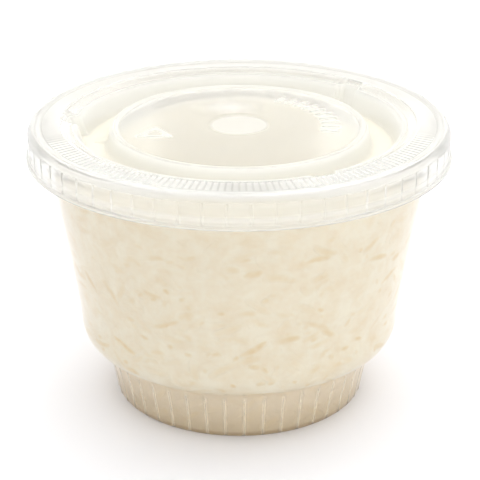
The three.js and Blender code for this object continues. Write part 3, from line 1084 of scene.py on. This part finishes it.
@dataclass
class GrainMesh:
    """Many cooked grains gathered into one mesh."""

    rings: int = 11
    sides: int = 14
    bluntness: float = 0.55
    corners: list[np.ndarray] = field(default_factory=list)
    bare: list[np.ndarray] = field(default_factory=list)

    def spindle(self, length: float, radius: float, proud: float, bend: float
                ) -> tuple[np.ndarray, np.ndarray, np.ndarray]:
        """One grain pressed against a wall, lying along its own first axis.

        Args:
            length: Tip to tip.
            radius: Half its width.
            proud: How far it stands out of the cream.
            bend: How far its middle is off the straight line between its tips.

        Returns:
            For each corner the place along, across and out of the cream.
        """
        turn = np.linspace(0.0, np.pi, self.rings + 2)
        along = -0.5 * length * np.cos(turn)
        girth = np.sin(turn) ** self.bluntness
        around = 2 * np.pi * np.arange(self.sides) / self.sides
        across = radius * girth[:, None] * np.cos(around)
        out = np.sin(around) * girth[:, None]
        out = np.where(out > 0, out * proud, out * radius)
        across = across + bend * (1 - (2 * along[:, None] / length) ** 2)
        along = np.repeat(along[:, None], self.sides, axis=1)
        return along, across, out

    def add(self, corners: np.ndarray, bare: np.ndarray) -> None:
        """Keeps one grain's corners, in mm, and how bare of cream each one is."""
        self.corners.append(corners.reshape(-1, 3))
        self.bare.append(bare.reshape(-1))

    def build(self, name: str) -> Object:
        """Joins all grains into one piece with the bareness as an attribute.

        Args:
            name: Name of the piece.

        Returns:
            The new object.
        """
        rows, sides = self.rings + 2, self.sides
        grid = np.arange(rows * sides).reshape(rows, sides)
        ahead = np.roll(grid, -1, axis=1)
        quads = np.stack([grid[:-1], ahead[:-1], ahead[1:], grid[1:]], axis=-1).reshape(-1, 4)
        faces = np.concatenate([quads + i * rows * sides for i in range(len(self.corners))])
        place = np.concatenate(self.corners)
        piece = new_piece(name, place, facing_out(place, faces.tolist()))
        add_values(piece, BARE, np.concatenate(self.bare))
        piece.data.shade_smooth()
        return piece


@dataclass(frozen=True)
class WallGrains:
    """A kind of grain at the wall: how many, how large and how clearly they show through the cream."""

    name: str
    count: int
    spacing: float
    lengths: Span
    radii: Span
    faintest: float
    spread: float
    rarity: float  # the higher, the rarer are the grains that show clearly
    rings: int
    sides: int


ALONG_WALL = WallGrains("rice_at_wall", count=560, spacing=2.7, lengths=(3.6, 8.0), radii=(0.7, 1.05),
                        faintest=0.2, spread=0.8, rarity=1.4, rings=11, sides=14)
END_ON = WallGrains("rice_ends_at_wall", count=820, spacing=1.65, lengths=(1.3, 2.8), radii=(0.5, 0.75),
                    faintest=0.15, spread=0.7, rarity=1.5, rings=6, sides=16)


@dataclass
class Pudding:
    """The set cream in the cup and the rice in it."""

    cup: Cup
    seed: int = 11
    corners: int = 240
    # top of the cream: pressed flat under the lid's channel, lower at the brim
    crown: float = 58.62
    edge: float = 56.7
    brim_roll: float = 1.0
    pressed_radius: float = 34.8
    brim_fall: float = 0.6
    swell: float = 0.04
    into_wall: float = 0.15
    # where grains lie at the wall: shares of its run, thinner near the brim
    zone: Span = (0.02, 0.95)
    lower_denser: float = 1.12
    thin_run: float = 7.0
    thin_share: float = 0.35
    tries: int = 12
    # how they lie, and how clearly they show at some heights
    proud: float = 0.06
    lean: float = 0.5
    lean_room: float = 0.9
    bend: float = 0.045
    cover_edge: Span = (-0.6, 0.5)
    fade_heights: tuple[float, ...] = (11.4, 11.6, 36.0, 54.0)
    fade_shares: tuple[float, ...] = (0.5, 1.0, 1.0, 0.65)
    # grains on top
    top_grains: int = 170
    top_reach: float = 38.0
    top_lengths: Span = (3.6, 8.0)
    top_radii: Span = (0.6, 0.8)
    top_strengths: Span = (0.3, 1.0)
    top_proud: Span = (0.03, 0.07)
    top_bare: float = 0.5
    base: list[Point] = field(init=False)
    wall: CreamWall = field(init=False)
    rng: np.random.Generator = field(init=False)

    def __post_init__(self) -> None:
        """Draws the cream's side from the inside of the cup."""
        inset = self.cup.wall - self.into_wall
        self.base = self.cup.base_curve(inset)
        foot = self.cup.foot_curve(inset + self.cup.rib_depth, steps=10)[1:]
        below = [point for point in self.cup.wall_curve(inset, steps=40)
                 if point[1] < self.edge - self.brim_roll]
        self.wall = CreamWall(foot + self.cup.shoulder_curve(inset, steps=12) + below)
        self.rng = np.random.default_rng(self.seed)

    def top_height(self, x: np.ndarray, y: np.ndarray) -> np.ndarray:
        """Height of the slightly domed and uneven top.

        Args:
            x: Distance to the right of the axis.
            y: Distance behind the axis.

        Returns:
            The height at each place.
        """
        swell = self.swell * (np.sin(0.19 * x + 1.1) + np.cos(0.17 * y - 0.13 * x))  # waves of about 30 mm
        fall = smooth_step(self.pressed_radius, self.wall.radius[-1], np.hypot(x, y)) ** self.brim_fall
        return self.crown - (self.crown - self.edge) * fall + swell * (1 - fall)

    def build_cream(self) -> Object:
        """Builds the cream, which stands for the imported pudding.

        Returns:
            The new object, not yet dressed.
        """
        side = list(zip(self.wall.radius.tolist(), self.wall.height.tolist()))
        roll = beside(side[-1], (0.08, 0.45), (-0.15, 0.8))
        crown = [(radius, self.crown) for radius in np.linspace(side[-1][0] - 0.6, 1.5, 26)]
        rows = ([Row(0, self.base[0][1], 1)] + rows_of(self.base + side + roll + crown, self.corners)
                + [Row(0, self.crown, 1)])
        piece = turned_piece("set_cream", rows, no_relief)
        place = np.zeros(len(piece.data.vertices) * 3)
        piece.data.vertices.foreach_get("co", place)
        place = place.reshape(-1, 3) / MM
        on_top = place[:, 2] > self.crown - 0.01
        place[on_top, 2] = self.top_height(place[on_top, 0], place[on_top, 1])
        piece.data.vertices.foreach_set("co", (place * MM).ravel())
        piece.data.update()
        return piece

    def wall_places(self, count: int, spacing: float) -> list[tuple[float, float]]:
        """Chooses places on the side of the cream, kept apart and denser lower down.

        Args:
            count: How many places to look for.
            spacing: Least distance between two places.

        Returns:
            Pairs of azimuth in radians and run along the side.
        """
        places: list[tuple[float, float]] = []
        spots = np.zeros((0, 3))
        length = self.wall.run[-1]
        first, extent = self.zone
        for _ in range(count * self.tries):
            if len(places) == count:
                break
            azimuth = self.rng.uniform(0, 2 * math.pi)
            run = length * (first + extent * self.rng.uniform() ** self.lower_denser)
            radius, height = self.wall.at(np.array(run), np.array(0.0))
            spot = np.array([radius * math.cos(azimuth), radius * math.sin(azimuth), height])
            if self.rng.uniform() > (self.thin_share if run > length - self.thin_run else 1.0):
                continue
            if len(spots) and np.min(np.linalg.norm(spots - spot, axis=1)) < spacing:
                continue
            places.append((azimuth, run))
            spots = np.vstack([spots, spot])
        return places

    def lay_on_wall(self, grains: GrainMesh, place: tuple[float, float], length: float, radius: float,
                    strength: float) -> None:
        """Lays one grain against the wall so that it follows the wall's curve.

        Args:
            grains: The mesh that the grain joins.
            place: Azimuth in radians and run along the side.
            length: Tip to tip.
            radius: Half its width.
            strength: How clearly it shows through the cream, from 0 to 1.
        """
        azimuth, run = place
        lean = self.rng.normal(0, self.lean)
        room = min(run - self.wall.run[0], self.wall.run[-1] - run)
        if abs(math.sin(lean)) * length / 2 > room:
            lean = math.asin(min(1.0, 2 * room / length)) * self.lean_room
        bend = self.rng.normal(0, self.bend) * length
        along, across, out = grains.spindle(length, radius, self.proud, bend)
        sideways = along * math.cos(lean) - across * math.sin(lean)
        upwards = along * math.sin(lean) + across * math.cos(lean)
        middle, level = self.wall.at(np.array(run), np.array(0.0))
        strength *= float(np.interp(level, self.fade_heights, self.fade_shares))
        turn = azimuth + sideways / middle
        distance, height = self.wall.at(run + upwards, out)
        cover = smooth_step(*self.cover_edge, self.rng.uniform(-1, 1) + along / length)
        bare = np.clip(out / self.proud, 0, 1) ** 2 * strength * cover
        grains.add(np.stack([distance * np.cos(turn), distance * np.sin(turn), height], -1), bare)

    def build_wall_grains(self, kind: WallGrains) -> Object:
        """Builds all grains of one kind at the wall.

        Args:
            kind: Their number, size and clearness.

        Returns:
            The new object, not yet dressed.
        """
        grains = GrainMesh(kind.rings, kind.sides)
        for place in self.wall_places(kind.count, kind.spacing):
            length = self.rng.uniform(*kind.lengths)
            radius = self.rng.uniform(*kind.radii)
            strength = kind.faintest + kind.spread * self.rng.uniform() ** kind.rarity
            self.lay_on_wall(grains, place, length, radius, strength)
        return grains.build(kind.name)

    def build_top_grains(self) -> Object:
        """Builds the grains that lie on the top, spread evenly by the golden angle.

        Returns:
            The new object, not yet dressed.
        """
        grains = GrainMesh()
        least, more = self.top_proud
        for i in range(self.top_grains):
            radius = self.top_reach * math.sqrt((i + 0.5) / self.top_grains)
            azimuth = i * math.pi * (3 - math.sqrt(5))
            length = self.rng.uniform(*self.top_lengths)
            heading = self.rng.uniform(0, math.pi)
            strength = self.rng.uniform(*self.top_strengths)
            half_width = self.rng.uniform(*self.top_radii)
            along, across, out = grains.spindle(length, half_width, least + more * strength, bend=0.0)
            x = radius * math.cos(azimuth) + along * math.cos(heading) - across * math.sin(heading)
            y = radius * math.sin(azimuth) + along * math.sin(heading) + across * math.cos(heading)
            bare = np.clip(out / (least + more), 0, 1) ** 2 * strength * self.top_bare
            grains.add(np.stack([x, y, self.top_height(x, y) + out], -1), bare)
        return grains.build("rice_on_top")

    def build(self) -> list[Object]:
        """Builds and dresses the cream and all grains.

        Returns:
            The new objects, the cream first.
        """
        cream = SetCream()
        body = self.build_cream()
        body.data.materials.append(cream.material())
        rice = CookedRice(cream).material()
        pieces = [*map(self.build_wall_grains, (ALONG_WALL, END_ON)), self.build_top_grains()]
        for piece in pieces:
            piece.data.materials.append(rice)
        for piece in [body, *pieces]:
            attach(piece, "root")
            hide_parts("rice_pudding")
        return [body, *pieces]


# ---------------- studio
@dataclass(frozen=True)
class Softbox:
    """A soft rectangular lamp that looks at the middle of the object; angles are in degrees."""

    name: str
    azimuth: float
    elevation: float
    distance_m: float
    width_m: float
    height_m: float
    brightness: float
    mirrored: bool = True

    def build(self) -> None:
        """Hangs the lamp; its brightness is that of its face, whatever its size."""
        data = bpy.data.lights.new(self.name, "AREA")
        data.shape = "RECTANGLE"
        data.size, data.size_y = self.width_m, self.height_m
        data.energy = self.brightness * math.pi * self.width_m * self.height_m
        lamp = bpy.data.objects.new(self.name, data)
        turn, rise = math.radians(self.azimuth), math.radians(self.elevation)
        lamp.location = (self.distance_m * math.cos(rise) * math.cos(turn),
                         self.distance_m * math.cos(rise) * math.sin(turn),
                         self.distance_m * math.sin(rise))
        lamp.rotation_euler = (math.pi / 2 - rise, 0.0, turn + math.pi / 2)
        lamp.visible_camera = False
        lamp.visible_glossy = self.mirrored
        bpy.context.scene.collection.objects.link(lamp)


SOFTBOXES = (
    Softbox("softbox_rear_right", 71.0, 32.0, 1.6, 0.82, 0.90, 1.3),
    Softbox("softbox_rear_left", 109.0, 32.0, 1.6, 0.82, 0.90, 1.0),
    Softbox("softbox_key", 20.0, 50.0, 1.2, 0.5, 0.5, 1.0, mirrored=False),
    Softbox("softbox_side", -22.0, 16.0, 1.4, 0.7, 0.6, 0.7, mirrored=False),
)


@dataclass(frozen=True)
class Sky:
    """Brightness of the room on one side: near the horizon, above it and overhead."""

    low: float
    middle: float
    top: float
    low_edge: float
    edge_blur: float = 0.003
    middle_end: float = 0.70
    top_start: float = 0.86

    def stops(self) -> list[tuple[float, float]]:
        """Upward share of the view's direction and brightness there, from the horizon to overhead."""
        return [(0.0, self.low), (self.low_edge - self.edge_blur, self.low),
                (self.low_edge + self.edge_blur, self.middle), (self.middle_end, self.middle),
                (self.top_start, self.top), (1.0, self.top)]


@dataclass
class Studio:
    """White floor, soft light all round, four soft lamps and the camera."""

    distance_mm: float = 333.0
    eye_height_mm: float = 177.6
    tilt_degrees: float = 66.853
    lens_mm: float = 118.04
    sensor_mm: float = 36.0
    shift: float = 0.0017
    floor_size_m: float = 8.0
    floor_drop_mm: float = 0.05
    front_sky: Sky = Sky(3.09, 0.37, 1.92, low_edge=0.25)
    rear_sky: Sky = Sky(1.87, 0.83, 1.72, low_edge=0.312)
    rear_range: Span = (-0.1, 0.5)

    def add_camera(self) -> None:
        """Adds the camera that looks down at the front."""
        data = bpy.data.cameras.new("camera")
        data.sensor_width = self.sensor_mm
        data.lens = self.lens_mm
        data.shift_x = self.shift
        camera = bpy.data.objects.new("camera", data)
        camera.location = (0.0, -self.distance_mm * MM, self.eye_height_mm * MM)
        camera.rotation_euler = (math.radians(self.tilt_degrees), 0.0, 0.0)
        bpy.context.scene.collection.objects.link(camera)
        bpy.context.scene.camera = camera

    def add_floor(self) -> None:
        """Adds the white floor just under the cup's foot."""
        half, drop = self.floor_size_m / MM / 2, self.floor_drop_mm
        corners = np.array([(x * half, y * half, -drop) for x, y in ((-1, -1), (1, -1), (1, 1), (-1, 1))])
        floor = new_piece("floor", corners, [(0, 1, 2, 3)])
        floor.data.materials.append(WhiteSweep().material())

    def light_world(self) -> None:
        """Lights the room: bright near the horizon, dimmer above it and bright overhead."""
        world = bpy.data.worlds.new("studio")
        bpy.context.scene.world = world
        world.use_nodes = True
        tree = world.node_tree
        tree.nodes.clear()
        place = add_node(tree, "ShaderNodeTexCoord").outputs["Generated"]
        axes = add_node(tree, "ShaderNodeSeparateXYZ", {0: place})
        strongest = max(level for sky in (self.front_sky, self.rear_sky) for _, level in sky.stops())
        sides = []
        for sky in (self.front_sky, self.rear_sky):
            ramp = add_node(tree, "ShaderNodeValToRGB", {0: axes.outputs["Z"]})
            elements, stops = ramp.color_ramp.elements, sky.stops()
            for position, _ in stops[2:]:
                elements.new(position)
            for element, (position, level) in zip(elements, stops):
                element.position = position
                element.color = (*[level / strongest] * 3, 1.0)
            sides.append(ramp.outputs["Color"])
        rearward = add_node(tree, "ShaderNodeMapRange", {
            "Value": axes.outputs["Y"], "From Min": self.rear_range[0], "From Max": self.rear_range[1]})
        around = add_node(tree, "ShaderNodeMix", {
            "data_type": "RGBA", 0: rearward.outputs[0], 6: sides[0], 7: sides[1]})
        light = add_node(tree, "ShaderNodeBackground", {"Strength": strongest, "Color": around.outputs[2]})
        add_node(tree, "ShaderNodeOutputWorld", {"Surface": light.outputs[0]})

    def build(self) -> None:
        """Builds the studio and sets plain display of colours."""
        self.add_camera()
        self.add_floor()
        self.light_world()
        for softbox in SOFTBOXES:
            softbox.build()
        scene = bpy.context.scene
        scene.view_settings.view_transform = "Standard"
        scene.view_settings.look = "None"


def main() -> None:
    """Builds the cup, the lid, the pudding and the studio, and reports each piece."""
    logging.basicConfig(level=logging.INFO, format="%(name)s: %(message)s")
    cup = Cup.from_frame()
    pieces = [cup.build(), Lid.from_frame().build(), *Pudding(cup).build()]
    for piece in pieces:
        log.info("%s: %d faces", piece.name, len(piece.data.polygons))
    Studio().build()
    bpy.context.view_layer.update()


if __name__ == "__main__":
    main()
